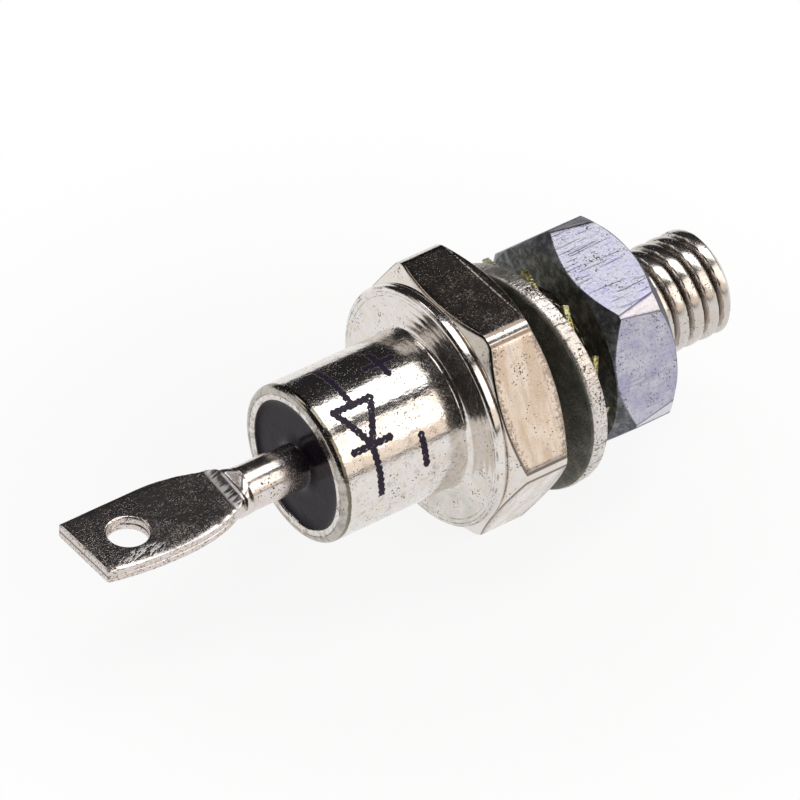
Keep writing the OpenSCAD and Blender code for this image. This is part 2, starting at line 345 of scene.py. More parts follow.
def bump(tree, shader, height):
    """Lifts the surface by a height in millimetres."""
    node = add(tree, "ShaderNodeBump", {"Height": height, "Distance": MM, "Strength": 1.0})
    tree.links.new(node.outputs["Normal"], shader.inputs["Normal"])


def paint(tree, shader, share, colour, blend="MIX"):
    """Lays a colour over a share of the surface as it is so far."""
    plain = shader.inputs["Base Color"].links[0].from_socket
    tree.links.new(tint(tree, share, plain, colour, blend), shader.inputs["Base Color"])


def roughen(tree, shader, share, amount):
    """Adds an amount to the roughness on a share of the surface."""
    plain = shader.inputs["Roughness"].links[0].from_socket
    tree.links.new(calc(tree, "MULTIPLY_ADD", share, amount, plain), shader.inputs["Roughness"])


def emboss(tree, shader, share, amount):
    """Lifts a share of the surface further, in millimetres."""
    relief = shader.inputs["Normal"].links[0].from_node.inputs["Height"]
    plain = relief.links[0].from_socket
    tree.links.new(calc(tree, "MULTIPLY_ADD", share, amount, plain), relief)


def nickel(name, colour, pit_share, scratch_share, gloss, haze, ripple, grain):
    """Bright nickel: warm, with dark pits, fine scratches, haze, a ripple (height, scale, stretch) and a
    grain."""
    warm_tone = (0.96, 0.92, 0.85)
    pit_colour = (0.055, 0.045, 0.04)
    material, tree, shader, spot = surface(name, colour)
    group = marked(tree, spot, pit_share, scratch_share)
    pits = group.outputs["Pits"]
    scratches = group.outputs["Scratches"]
    mottle = group.outputs["Mottle"]
    warmer = [c * k for c, k in zip(colour, warm_tone)]
    warm = tint(tree, window(tree, mottle, 0.35, 0.7), colour, warmer)
    tree.links.new(tint(tree, pits, warm, pit_colour), shader.inputs["Base Color"])
    tree.links.new(calc(tree, "MULTIPLY_ADD", mottle, 0.12, gloss - 0.06), shader.inputs["Roughness"])
    roughen(tree, shader, scratches, 0.2)
    roughen(tree, shader, pits, 0.3)
    roughen(tree, shader, group.outputs["Haze"], haze)
    ripple_height, ripple_scale, ripple_stretch = ripple
    wave = noise(tree, spot, ripple_scale, ripple_stretch, detail=2)
    bump(tree, shader, times(tree, wave, ripple_height))
    emboss(tree, shader, group.outputs["Grain"], grain)
    emboss(tree, shader, pits, -0.010)
    emboss(tree, shader, scratches, -0.004)
    return material, tree, shader, group


def finish(piece, material, node):
    """Dresses a piece and puts it in its node's place."""
    piece.data.materials.clear()
    piece.data.materials.append(material)
    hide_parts(node)
    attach(piece, "root")


def here(tree):
    """The place on a piece in millimetres from the middle of its hex's seat."""
    spot = add(tree, "ShaderNodeTexCoord").outputs["Object"]
    spot = add(tree, "ShaderNodeVectorMath", {0: spot, 1: seat}, operation="SUBTRACT").outputs[0]
    return add(tree, "ShaderNodeVectorMath", {0: spot, "Scale": 1 / MM}, operation="SCALE").outputs[0]


def radius(tree, place):
    """Distance from the part's axis."""
    off = add(tree, "ShaderNodeVectorMath", {0: place, 1: (0, 1, 1)}, operation="MULTIPLY").outputs[0]
    return add(tree, "ShaderNodeVectorMath", {0: off}, operation="LENGTH").outputs["Value"]


def flat_depth(tree, place, af, turn):
    """How far a place lies inside the planes of a hexagon's flats."""
    reach = 0.0
    for i in range(3):
        a = pi / 3 * i - turn
        out = add(tree, "ShaderNodeVectorMath", {0: place, 1: (0, sin(a), cos(a))}, operation="DOT_PRODUCT")
        reach = calc(tree, "MAXIMUM", reach, calc(tree, "ABSOLUTE", out.outputs["Value"]))
    return calc(tree, "SUBTRACT", af / 2, reach)


# Drawing marks on the hex's flats: darker and warmer stripes round the bar, painted dark reflection that
# creeps in from the flats' ends, painted dark lines along their borders, a broken line scribed by the seat,
# and painted shade in the thread's grooves over a slightly duller tone on the whole thread
groove_floor = 1.98
groove_rim = 2.22
scribe_at = 0.42
material, tree, shader, group = nickel("nickel_base", base_colour, pit_share=0.58, scratch_share=0.3,
                                       gloss=0.15, haze=0.04, grain=0.002,
                                       ripple=(0.012, 1.9, (1, 0.1, 0.1)))
place = here(tree)
off_axis = radius(tree, place)
along = add(tree, "ShaderNodeSeparateXYZ", {0: place}).outputs["X"]
depth = flat_depth(tree, place, hex_af, 0)
on_flat = without(tree, window(tree, depth, 0.01, 0.05))
on_stud = window(tree, along, 0.1, 0.3)
stripes = window(tree, noise(tree, place, 2.0, (1, 0.22, 0.22), detail=5, rough=0.6), 0.38, 0.62)
paint(tree, shader, times(tree, stripes, on_flat), hex_stripe_tone, "MULTIPLY")
# Painted dark reflection along the flats' ends and borders, where the rounded edges would mirror dark
cone = calc(tree, "MULTIPLY_ADD", off_axis, tan(hex_bevel), (hex_face_inset - hex_af / 2) * tan(hex_bevel))
inward = calc(tree, "MINIMUM", calc(tree, "ADD", along, hex_h), calc(tree, "SUBTRACT", 0.0, along))
inward = calc(tree, "SUBTRACT", inward, cone)
ragged = calc(tree, "MULTIPLY_ADD", noise(tree, place, 8.0, detail=4, rough=0.7), -1.6, 0.6)
shade_patches = without(tree, window(tree, calc(tree, "ADD", inward, ragged), -0.02, 0.04))
shade_line = span(tree, depth, 0.012, 0.06, 0.01)
shade_line = times(tree, shade_line, window(tree, off_axis, hex_af / 2 - 0.1, hex_af / 2))
shade_patches = calc(tree, "MAXIMUM", times(tree, shade_patches, on_flat, 0.55), times(tree, shade_line, 0.88))
paint(tree, shader, shade_patches, hex_edge_shade_colour)
# Painted shade in the thread's grooves, over a slightly duller tone on the whole thread
groove = without(tree, window(tree, off_axis, groove_floor, groove_rim))
groove_shade_and_tone = times(tree, calc(tree, "MULTIPLY_ADD", groove, 0.66, 0.20), on_stud)
paint(tree, shader, groove_shade_and_tone, thread_dark_colour)
scribe_off = calc(tree, "ABSOLUTE", calc(tree, "ADD", along, scribe_at))
scribe = without(tree, window(tree, scribe_off, 0.02, 0.045))
broken = window(tree, noise(tree, place, 8.0, (0.2, 1, 1), detail=2), 0.42, 0.52)
haze = times(tree, group.outputs["Haze"], on_flat)
roughen(tree, shader, haze, 0.15)
roughen(tree, shader, on_stud, 0.05)
roughen(tree, shader, times(tree, scribe, broken, on_flat), 0.5)
emboss(tree, shader, haze, 0.0015)
finish(stud_base, material, "stud_base")

# Chip stack: the silicon chip between two layers of solder, the contact disc and the copper lead that
# rises into the terminal tube. They are sealed in the can, and keep their solids' own meshes.
solder_finish = ((0.46, 0.46, 0.45), 0.45, 3.0)
inner_finishes = {
    "lower_solder": solder_finish,
    "silicon_die": ((0.10, 0.10, 0.13), 0.16, 1.2),
    "upper_solder": solder_finish,
    "contact_disc": ((0.42, 0.41, 0.39), 0.34, 5.0),
    "inner_lead": ((0.72, 0.38, 0.24), 0.28, 2.5),
}
for node, (colour, roughness, grain) in inner_finishes.items():
    material, tree, shader, spot = surface("inner_" + node, colour)
    cloud = noise(tree, spot, grain, detail=4)
    tree.links.new(tint(tree, cloud, [c * 0.75 for c in colour], colour), shader.inputs["Base Color"])
    tree.links.new(calc(tree, "MULTIPLY_ADD", cloud, 0.2, roughness - 0.1), shader.inputs["Roughness"])
    bump(tree, shader, times(tree, cloud, 0.01))
    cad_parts[node].data.materials.clear()
    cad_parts[node].data.materials.append(material)

# Weld cap: a can drawn from one steel sheet with a flange that is resistance-welded to the hex,
# nickel plated, with a rolled rim round the glass and soft rings pressed into the flange.
cap_low, cap_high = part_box("weld_cap")
can_top = (seat.x - cap_low.x) / MM
flange_r = (cap_high.z - cap_low.z) / MM / 2
can_r = 3.575
bore_r = 2.935
flange_h = 0.55
flange_top = hex_h + flange_h
flange_round = 0.2
flange_steps = 40
dish_deep = 0.035
ring_high = 0.008
ring_waves = 7
can_fillet = 0.25
wall_steps = 24
rim_round = 0.28
rim_lip = 0.08
cap_colour = (0.78, 0.745, 0.725)


def arc(cx, cs, r, start, end, steps=8):
    """Points along an arc, in degrees."""
    turns = [radians(start + (end - start) * i / steps) for i in range(steps + 1)]
    return [(cx + r * cos(a), cs + r * sin(a)) for a in turns]


def drawn(name, profile):
    """Draws half a section in the XZ plane by extruding one point from corner to corner."""
    bpy.ops.object.select_all(action="DESELECT")
    bpy.ops.mesh.primitive_plane_add(size=1)
    piece = bpy.context.object
    piece.name = name
    bpy.ops.object.mode_set(mode="EDIT")
    bpy.ops.mesh.merge(type="CENTER")
    bpy.ops.transform.translate(value=(profile[0][0], 0, profile[0][1]))
    for (r0, s0), (r1, s1) in zip(profile, profile[1:]):
        bpy.ops.mesh.extrude_region_move(TRANSFORM_OT_translate={"value": (r1 - r0, 0, s1 - s0)})
    return piece


def turned(name, profile, steps):
    """Spins a drawn half section round the axis and closes its seam and poles."""
    piece = drawn(name, profile)
    bpy.ops.mesh.select_all(action="SELECT")
    bpy.ops.mesh.spin(steps=steps, angle=2 * pi, center=(0, 0, 0), axis=(0, 0, 1))
    bpy.ops.mesh.select_all(action="SELECT")
    bpy.ops.mesh.remove_doubles(threshold=1e-4)
    bpy.ops.mesh.normals_make_consistent(inside=False)
    bpy.ops.object.mode_set(mode="OBJECT")
    return piece


ring_inner = can_r + can_fillet
ring_outer = flange_r - flange_round
wall_low = flange_top + can_fillet
wall_h = can_top - flange_top - can_fillet - rim_round
section = [(bore_r, hex_h)]
section += arc(ring_outer, hex_h + flange_round, flange_round, -90, 0)
section += arc(ring_outer, flange_top - flange_round, flange_round, 0, 90)
for i in range(1, flange_steps):
    u = 1 - i / flange_steps
    dish = -dish_deep * sin(pi * u) + ring_high * sin(ring_waves * pi * u) * sin(pi * u)
    section.append((ring_inner + (ring_outer - ring_inner) * u, flange_top + dish))
section += arc(ring_inner, wall_low, can_fillet, 270, 180)
section += [(can_r, wall_low + wall_h * i / wall_steps) for i in range(1, wall_steps)]
section += arc(can_r - rim_round, can_top - rim_round, rim_round, 0, 90)
section += arc(bore_r + rim_lip, can_top - rim_lip, rim_lip, 90, 180)
section += [(bore_r, hex_h)]
weld_cap = turned("weld_cap_plated", section, steps=192)
smooth(weld_cap, radians(32))
lay_down(weld_cap)
material, tree, shader, _ = nickel("nickel_cap", cap_colour, pit_share=0.60, scratch_share=0.3,
                                   gloss=0.13, haze=0.10, grain=0.001,
                                   ripple=(0.004, 2.2, (0.4, 1, 1)))
place = here(tree)
axes = add(tree, "ShaderNodeSeparateXYZ", {0: place})
off_axis = radius(tree, place)

# Print on the can: the plain sign for a diode and its two poles, in strokes of run-together dots of
# dark violet ink
ink_colour = (0.022, 0.014, 0.036)
ink_soft = 0.015
far_from_ink = 9.0
dot_pitch = 0.27
dot_swell = 0.022
stroke_half = 0.16
print_at = 8.15
print_turn = radians(126)
sign = 0.95
sign_leads = [((-3.5, 0), (-sign, 0)), ((sign, 0), (3.5, 0))]
sign_arrow = [((-sign, -sign), (-sign, sign)), ((-sign, -sign), (sign, 0)), ((-sign, sign), (sign, 0))]
sign_bar = [((sign, -sign), (sign, sign))]
plus = [((-3.0, 2.35), (-1.6, 2.35)), ((-2.3, 1.65), (-2.3, 3.05))]
minus = [((1.4, 2.35), (2.8, 2.35))]
turn = calc(tree, "ARCTAN2", axes.outputs["Z"], axes.outputs["Y"])
around = times(tree, calc(tree, "SUBTRACT", turn, print_turn), can_r)
along = calc(tree, "ADD", axes.outputs["X"], print_at)
nearest = far_from_ink
for (u0, v0), (u1, v1) in sign_leads + sign_arrow + sign_bar + plus + minus:
    length = sqrt((u1 - u0) ** 2 + (v1 - v0) ** 2)
    u = calc(tree, "SUBTRACT", around, u0)
    v = calc(tree, "SUBTRACT", along, v0)
    run = calc(tree, "MULTIPLY_ADD", u, (u1 - u0) / length, times(tree, v, (v1 - v0) / length))
    side = calc(tree, "MULTIPLY_ADD", u, (v1 - v0) / length, times(tree, v, (u0 - u1) / length))
    over = calc(tree, "SUBTRACT", run, calc(tree, "MINIMUM", calc(tree, "MAXIMUM", run, 0.0), length))
    off = calc(tree, "SQRT", calc(tree, "MULTIPLY_ADD", over, over, times(tree, side, side)))
    bead = calc(tree, "COSINE", times(tree, run, 2 * pi / dot_pitch))
    nearest = calc(tree, "MINIMUM", nearest, calc(tree, "MULTIPLY_ADD", bead, -dot_swell, off))
ragged = calc(tree, "MULTIPLY_ADD", noise(tree, place, 9.0, detail=3), 0.12, -0.06)
edge = calc(tree, "ADD", nearest, ragged)
ink = without(tree, window(tree, edge, stroke_half - ink_soft, stroke_half + ink_soft))
wear_and_highlight = window(tree, noise(tree, place, 8.0, detail=3), 0.66, 0.74)
ink = times(tree, ink, without(tree, wear_and_highlight))
paint(tree, shader, ink, ink_colour)
roughen(tree, shader, ink, 0.3)
tree.links.new(without(tree, ink), shader.inputs["Metallic"])
shader.inputs["Specular IOR Level"].default_value = 0.2

# Marks on the can: an uneven wall, fine turned rings on the flange, a dark line painted behind the edge of
# the rim, grime, a mottled film that spares the ink, and a duller rolled half of the rim with a frayed fold
rim_line_colour = (0.10, 0.088, 0.05)
grime_colour = (0.17, 0.15, 0.12)
mottle_colour = (0.24, 0.21, 0.17)
rolled_colour = (0.29, 0.27, 0.22)
fold_colour = (0.09, 0.08, 0.06)
on_flange = window(tree, off_axis, can_r + 0.05, can_r + 0.25)
uneven = noise(tree, place, 5.0, (0.6, 1, 1), detail=4)
emboss(tree, shader, times(tree, uneven, without(tree, on_flange)), 0.010)
rings_at = add(tree, "ShaderNodeCombineXYZ", {0: off_axis}).outputs[0]
turning = noise(tree, rings_at, 5.0, detail=3)
emboss(tree, shader, times(tree, turning, on_flange), 0.006)
rim_at = calc(tree, "MULTIPLY_ADD", noise(tree, place, 5.0, detail=3), 0.12, axes.outputs["X"])
rim_off = calc(tree, "ABSOLUTE", calc(tree, "ADD", rim_at, can_top - rim_round - 0.03))
rim_line = without(tree, window(tree, rim_off, 0.06, 0.12))
paint(tree, shader, times(tree, rim_line, 0.92), rim_line_colour)
on_rim = without(tree, window(tree, axes.outputs["X"], 0.10 - can_top, 0.35 - can_top))
grime = window(tree, noise(tree, place, 2.6, detail=5, rough=0.65), 0.46, 0.66)
paint(tree, shader, times(tree, grime, on_rim, 0.55), grime_colour)
mottle = window(tree, noise(tree, place, 3.2, detail=6, rough=0.72), 0.50, 0.66)
on_wall = without(tree, calc(tree, "MAXIMUM", on_flange, ink))
paint(tree, shader, times(tree, mottle, on_wall, 0.42), mottle_colour)
rolled = window(tree, off_axis, can_r - 0.36, can_r - 0.30)
paint(tree, shader, times(tree, rolled, on_rim, 0.55), rolled_colour)
frayed = window(tree, noise(tree, place, 3.0, detail=4, rough=0.65), 0.36, 0.52)
fold = span(tree, off_axis, can_r - 0.38, can_r - 0.33, 0.02)
paint(tree, shader, times(tree, fold, on_rim, frayed, 0.8), fold_colour)

# The flange: darker, duller patches on its lower side, and broken dark lines along three turned grooves
flange_low_side_colour = (0.44, 0.43, 0.36)
groove_colour = (0.11, 0.10, 0.07)
groove_insets = ((0.44, 0.40), (0.25, 0.20), (0.12, 0.05))
low_side = without(tree, window(tree, axes.outputs["Z"], -4.0, 1.0))
tone_patches = window(tree, noise(tree, place, 0.9, detail=4, rough=0.6), 0.25, 0.65)
paint(tree, shader, times(tree, tone_patches, on_flange, low_side, 0.5), flange_low_side_colour)
broken = window(tree, noise(tree, place, 1.6, detail=5, rough=0.65), 0.42, 0.62)
grooves = 0.0
for inner, outer in groove_insets:
    groove = span(tree, off_axis, flange_r - inner, flange_r - outer, 0.02)
    grooves = calc(tree, "MAXIMUM", grooves, groove)
paint(tree, shader, times(tree, grooves, broken, 0.7), groove_colour)
finish(weld_cap, material, "weld_cap")

# Glass seal: a dark bead fused between the can and the terminal tube. It creeps up both metals where
# it wets them, so its face is a shallow dish.
seal_sunk = 0.2
seal_h = 1.9
seal_wet = 0.09
seal_dish = 6
seal_steps = 40
post_r = 1.03
seal_colour = (0.035, 0.028, 0.045)
seal_dark = (0.007, 0.005, 0.009)
seal_light = (0.026, 0.020, 0.032)
seal_sheen = (1.0, 0.84, 0.97)
seal_top = can_top - seal_sunk
seal_low = seal_top - seal_h
section = [(post_r, seal_low), (bore_r, seal_low)]
for i in range(seal_steps + 1):
    u = i / seal_steps
    section.append((bore_r + (post_r - bore_r) * u, seal_top + seal_wet * (2 * u - 1) ** seal_dish))
section.append((post_r, seal_low))
glass_seal = turned("glass_seal_bead", section, steps=128)
smooth(glass_seal, radians(40))
lay_down(glass_seal)
material, tree, shader, spot = surface("seal_glass", seal_colour)
shader.inputs["Metallic"].default_value = 0.0
shader.inputs["IOR"].default_value = 1.5
shader.inputs["Specular IOR Level"].default_value = 0.115
shader.inputs["Specular Tint"].default_value = (*seal_sheen, 1)
swirl = noise(tree, spot, 1.1, (0.4, 1, 1), detail=4)
tree.links.new(tint(tree, swirl, seal_dark, seal_light), shader.inputs["Base Color"])
streaks = window(tree, noise(tree, spot, 6.0, (1, 0.1, 1), (0.5, 0, 0), detail=2), 0.5, 0.75)
tree.links.new(calc(tree, "MULTIPLY_ADD", streaks, 0.25, 0.12), shader.inputs["Roughness"])
bump(tree, shader, times(tree, swirl, 0.02))
finish(glass_seal, material, "glass_seal")

# Terminal: a nickel-plated tube that passes through the glass, pressed flat at its outer end into a
# solder lug with a wire hole. The two layers of the flattened tube meet in a seam round its edge.
lug_low, lug_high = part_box("terminal_lug")
lug_tip = (seat.x - lug_low.x) / MM
post_low = (seat.x - lug_high.x) / MM
post_levels = [10.5, 12.0]
post_end = 13.25
tube_r = 0.55
tube_deep = 13.25
tube_over = 1
neck_low = 12.5
neck_step = 0.02
neck_rings = 105
neck_high = 14.6
dent_start = 12.85
dent_square = 1.4
valley_at = 13.3
valley_top = 0.79
ridge_at = 13.46
ridge_top = 0.82
crown_rise = 0.08
crown_run = 0.1
crease_skew = 0.09
swell = 0.1
swell_at = 13.3
swell_reach = 0.8
lug_start = 13.95
lug_square = 12
lug_face = 0.6
lug_back = -0.1
lug_mid = (lug_face + lug_back) / 2
lug_w = 4.02
lug_tip_w = 3.6
lug_skew = 0.23
lug_rings = 60
low_end = 14.4
low_square = 13.4
low_square_at = 13.4
low_square_run = 1.2
belly_at = lug_tip - 3.7
belly_curve = 2.2
seam_deep = 0.035
seam_half = 0.03
seam_run = 0.6
tip_round = 0.07
tip_rings = 5
lug_points = 160
point_crowding = 0.44
hole_r = 0.9
hole_at = lug_tip - 2.1
hole_round = 0.1
hole_seam_half = 0.05
hole_seam_deep = 0.03
punch_over = 0.5
punch_flare = 0.6
lug_colour = (0.74, 0.69, 0.68)


def ease(u):
    """A smooth step from 0 to 1."""
    u = min(1, max(0, u))
    return u * u * (3 - 2 * u)


def mix(a, b, u):
    """A value between two, with the share held from 0 to 1."""
    return a + (b - a) * min(1, max(0, u))


def lug_half(s):
    """Half the lug's width at a height above the seating face."""
    if s < belly_at:
        narrowing = max(0, min(1, (belly_at - s) / (belly_at - post_end)))
        return mix(lug_w / 2, post_r, narrowing ** belly_curve)
    return mix(lug_w / 2, lug_tip_w / 2, ((s - belly_at) / (lug_tip - belly_at)) ** 2)


def lug_shift(s):
    """Sideways lean of the lug's middle."""
    return lug_skew * max(0, (s - belly_at) / (lug_tip - belly_at)) ** 2


def top_at(s):
    """Height of the upper side: the dented tube, the lip thrown up by the press, its ramp and the flat
    lug."""
    if s < valley_at:
        return mix(post_r, valley_top, (s - dent_start) / (valley_at - dent_start))
    if s < ridge_at:
        return mix(valley_top, ridge_top, ease((s - valley_at) / (ridge_at - valley_at)))
    return mix(ridge_top, lug_face, (s - ridge_at) / (lug_start - ridge_at))


def ring_at(s, inset=0.0):
    """One closed section: round in the tube, broader and squarer where it is pressed flat."""
    press = ease((s - dent_start) / (lug_start - dent_start))
    squash = ease((s - ridge_at) / (low_end - ridge_at))
    core = lug_mid * press
    crown = top_at(s) + crown_rise * ease((s - valley_at) / crown_run) * (1 - squash)
    low = mix(-post_r, lug_back, ease((s - post_end) / (low_end - post_end)))
    bulge = max(0, 1 - ((s - swell_at) / swell_reach) ** 2) ** 2
    wide = lug_half(s) + swell * bulge - inset
    power = 2 + dent_square * ease((s - dent_start) / (valley_at - dent_start)) + lug_square * squash
    low_power = 2 + low_square * ease((s - low_square_at) / low_square_run) ** 3
    seam = seam_deep * ease((s - lug_start) / seam_run)
    points = []
    for k in range(lug_points):
        a = 2 * pi * k / lug_points
        t = a + point_crowding * press * sin(2 * a)
        half, p = (crown - core - inset, power) if cos(t) > 0 else (core - low - inset, low_power)
        reach = (abs(cos(t) / half) ** p + abs(sin(t) / wide) ** p) ** (-1 / p)
        y = reach * sin(t)
        x = min(core + reach * cos(t), top_at(s + crease_skew * y) - inset)
        dip = seam * exp(-((x - lug_mid) / seam_half) ** 2)
        y -= dip * (1 if y > 0 else -1)
        points.append((x, y + lug_shift(s), s))
    return points


def apply_modifier(piece, kind, **settings):
    """Adds a modifier with its settings and applies it to the mesh."""
    modifier = piece.modifiers.new(kind.lower(), kind)
    for name, value in settings.items():
        setattr(modifier, name, value)
    bpy.context.view_layer.objects.active = piece
    bpy.ops.object.modifier_apply(modifier=modifier.name)


def combine(piece, tool, operation):
    """Joins, cuts or trims a piece with another shape, which is used up."""
    apply_modifier(piece, "BOOLEAN", operation=operation, object=tool, solver="EXACT")
    bpy.data.objects.remove(tool)


lug_end = lug_tip - tip_round
levels = [post_low] + post_levels
levels += [neck_low + neck_step * i for i in range(neck_rings)]
levels += [neck_high + (lug_end - neck_high) * i / lug_rings for i in range(lug_rings + 1)]
rings = [ring_at(s) for s in levels]
for i in range(1, tip_rings + 1):
    a = pi / 2 * i / tip_rings
    rings.append(ring_at(lug_tip - tip_round * (1 - sin(a)), tip_round * (1 - cos(a))))
terminal = lofted("terminal_lug_plated", rings)
tube_low = post_low - tube_over
section = [(0, tube_low), (tube_r, tube_low), (tube_r, tube_deep), (0, tube_deep)]
tube = turned("tube", section, steps=48)
combine(terminal, tube, "DIFFERENCE")
section = [(0, lug_back - punch_over), (hole_r + punch_flare, lug_back - punch_over)]
section += arc(hole_r + hole_round, lug_back + hole_round, hole_round, 270, 180)
section += [(hole_r, lug_mid - hole_seam_half), (hole_r + hole_seam_deep, lug_mid),
            (hole_r, lug_mid + hole_seam_half)]
section += arc(hole_r + hole_round, lug_face - hole_round, hole_round, 180, 90)
section += [(hole_r + punch_flare, lug_face + punch_over), (0, lug_face + punch_over)]
punch = turned("punch", section, steps=96)
punch.matrix_world = Matrix.Translation((0, 0, hole_at)) @ Matrix.Rotation(pi / 2, 4, "Y")
combine(terminal, punch, "DIFFERENCE")
smooth(terminal, radians(30))
lay_down(terminal)

# Press marks: lines along the ramp, a rubbed patch beside the hole, grainy sheared sides and the seam across
# the tip, with a painted highlight on the lip, the streaks at the ramp's foot and the rubbed patch's dashes,
# and painted shade on the rest of the ramp
ramp_shade_colour = (0.10, 0.08, 0.10)
shear_stain_colour = (0.16, 0.13, 0.10)
scuff_highlight_colour = (0.92, 0.90, 0.90)
rubbed_at = (-0.25 - hole_at, -1.40, lug_face)
rubbed_stretch = (0.8, 2.6, 1.0)
material, tree, shader, _ = nickel("nickel_lug", lug_colour, pit_share=0.60, scratch_share=0.5,
                                   gloss=0.17, haze=0.10, grain=0.002,
                                   ripple=(0.005, 2.4, (0.6, 1, 1)))
place = here(tree)
axes = add(tree, "ShaderNodeSeparateXYZ", {0: place})
height_up = calc(tree, "SUBTRACT", 0.0, axes.outputs["X"])
aslant = calc(tree, "MULTIPLY_ADD", axes.outputs["Y"], crease_skew, height_up)
facing = add(tree, "ShaderNodeSeparateXYZ", {0: add(tree, "ShaderNodeNewGeometry").outputs["Normal"]})
on_top = window(tree, facing.outputs["Z"], 0.70, 0.88)
on_lug = window(tree, aslant, lug_start - 0.03, lug_start + 0.05)
lip = times(tree, on_top, span(tree, aslant, ridge_at - 0.10, ridge_at + 0.05, 0.03))
lip = times(tree, lip, without(tree, window(tree, axes.outputs["Y"], 0.55, 0.75)))
ramp = times(tree, on_top, span(tree, aslant, ridge_at + 0.03, lug_start - 0.02, 0.03))
lines = noise(tree, place, 12.0, (0.06, 1, 0.06), detail=3, rough=0.6)
shrink = calc(tree, "SUBTRACT", lug_start + 0.12, aslant)
streaks = calc(tree, "SUBTRACT", lines, calc(tree, "MULTIPLY_ADD", shrink, 0.70, 0.24))
streaks = times(tree, ramp, window(tree, streaks, 0.0, 0.12))
off = add(tree, "ShaderNodeVectorMath", {0: place, 1: rubbed_at}, operation="SUBTRACT").outputs[0]
off = add(tree, "ShaderNodeVectorMath", {0: off, 1: rubbed_stretch}, operation="MULTIPLY").outputs[0]
rubbed = add(tree, "ShaderNodeVectorMath", {0: off}, operation="LENGTH").outputs["Value"]
rubbed = without(tree, window(tree, rubbed, 0.3, 1.2))
dashes = window(tree, noise(tree, place, 9.0, (0.3, 1, 1), (0, 0, 0.47), detail=3), 0.50, 0.60)
dashes = times(tree, rubbed, dashes)
specks = calc(tree, "MAXIMUM",
              noise(tree, place, 13.0, (1, 0.3, 1), (0, 0, 0.5), detail=4, rough=0.75),
              noise(tree, place, 13.0, (0.3, 1, 1), (0, 0, 0.3), detail=4, rough=0.75))
specks = times(tree, window(tree, specks, 0.50, 0.78), on_lug, on_top)
level = window(tree, calc(tree, "ABSOLUTE", facing.outputs["Z"]), 0.35, 0.8)
sheared = times(tree, without(tree, level), window(tree, height_up, lug_start + 0.1, lug_start + 0.5))
grit = noise(tree, place, 10.0, (0.7, 1, 1), detail=4, rough=0.65)
emboss(tree, shader, times(tree, ramp, lines), 0.10)
emboss(tree, shader, times(tree, lip, lines), 0.07)
emboss(tree, shader, dashes, 0.02)
emboss(tree, shader, specks, 0.003)
emboss(tree, shader, times(tree, sheared, grit), 0.045)
# Painted shade on the ramp between its streaks
shade = calc(tree, "MULTIPLY_ADD", streaks, -0.85, 0.85)
paint(tree, shader, times(tree, ramp, shade), ramp_shade_colour)
at_tip = without(tree, window(tree, facing.outputs["X"], -0.8, -0.6))
seam_off = calc(tree, "ABSOLUTE", calc(tree, "SUBTRACT", axes.outputs["Z"], lug_mid))
tip_seam = times(tree, at_tip, without(tree, window(tree, seam_off, 0.03, 0.06)))
stained = times(tree, sheared, window(tree, grit, 0.50, 0.66))
paint(tree, shader, calc(tree, "MAXIMUM", stained, tip_seam), shear_stain_colour)
# Painted highlight: the lip, the ramp's foot streaks and the rubbed dashes are painted near white and less
# metallic
scuff_highlights = calc(tree, "MAXIMUM", calc(tree, "MAXIMUM", times(tree, lip, 0.7), streaks), dashes)
paint(tree, shader, scuff_highlights, scuff_highlight_colour)
roughen(tree, shader, specks, 0.10)
roughen(tree, shader, scuff_highlights, 0.3)
tree.links.new(calc(tree, "MULTIPLY_ADD", scuff_highlights, -0.2, 1.0), shader.inputs["Metallic"])
finish(terminal, material, "terminal_lug")

# Flat washer: blanked from zinc-plated steel sheet, so one edge is rolled over and the rim is sheared
# rough. It hangs loose on the stud and leans from the hex towards the nut.
flat_r = 5.2
flat_hole_r = 3.0
flat_hole_edge = 0.1
flat_t = 0.8
flat_roll = 0.25
flat_edge = 0.04
flat_rim_steps = 8
lean = radians(8)
flat_slip_way = radians(60)
rest_gap = 0.02
flat_slip = flat_hole_r - stud_r - rest_gap - flat_t * sin(lean) / 2
flat_drop = flat_slip * cos(flat_slip_way)
flat_side = flat_slip * sin(flat_slip_way)
lean_reach = (flat_r - flat_roll - flat_side) * sin(lean) + (flat_t / 2 - flat_roll) * cos(lean) + flat_roll
flat_middle = -rest_gap - lean_reach
zinc_colour = (0.62, 0.60, 0.58)
zinc_dark = (0.44, 0.41, 0.385)
zinc_bright = (0.76, 0.715, 0.675)
zinc_shear_colour = (0.22, 0.20, 0.18)
zinc_pit_colour = (0.06, 0.05, 0.045)
washer_gap_shade_dark = (0.12, 0.122, 0.10)
washer_gap_shade_light = (0.21, 0.21, 0.18)
rim_low = flat_edge - flat_t / 2
rim_h = flat_t - flat_roll - flat_edge
section = [(flat_hole_r, -flat_t / 2), (flat_r - flat_edge, -flat_t / 2)]
section += arc(flat_r - flat_edge, rim_low, flat_edge, -90, 0, 3)
section += [(flat_r, rim_low + rim_h * i / flat_rim_steps) for i in range(1, flat_rim_steps)]
section += arc(flat_r - flat_roll, flat_t / 2 - flat_roll, flat_roll, 0, 90)
section += [(flat_hole_r + flat_hole_edge, flat_t / 2), (flat_hole_r, flat_t / 2 - flat_hole_edge),
            (flat_hole_r, -flat_t / 2)]
flat_washer = turned("flat_washer_zinc", section, steps=256)
smooth(flat_washer, radians(35))
leaning = Matrix.Translation((0, 0, flat_middle)) @ Matrix.Rotation(lean, 4, "X")
lay_down(flat_washer, leaning @ Matrix.Translation((-flat_drop, -flat_side, 0)))


def facing_lug(tree):
    """1 on faces that look along the part towards the lug."""
    normal = add(tree, "ShaderNodeNewGeometry").outputs["Normal"]
    along = add(tree, "ShaderNodeSeparateXYZ", {0: normal}).outputs["X"]
    return without(tree, window(tree, along, -0.75, -0.55))


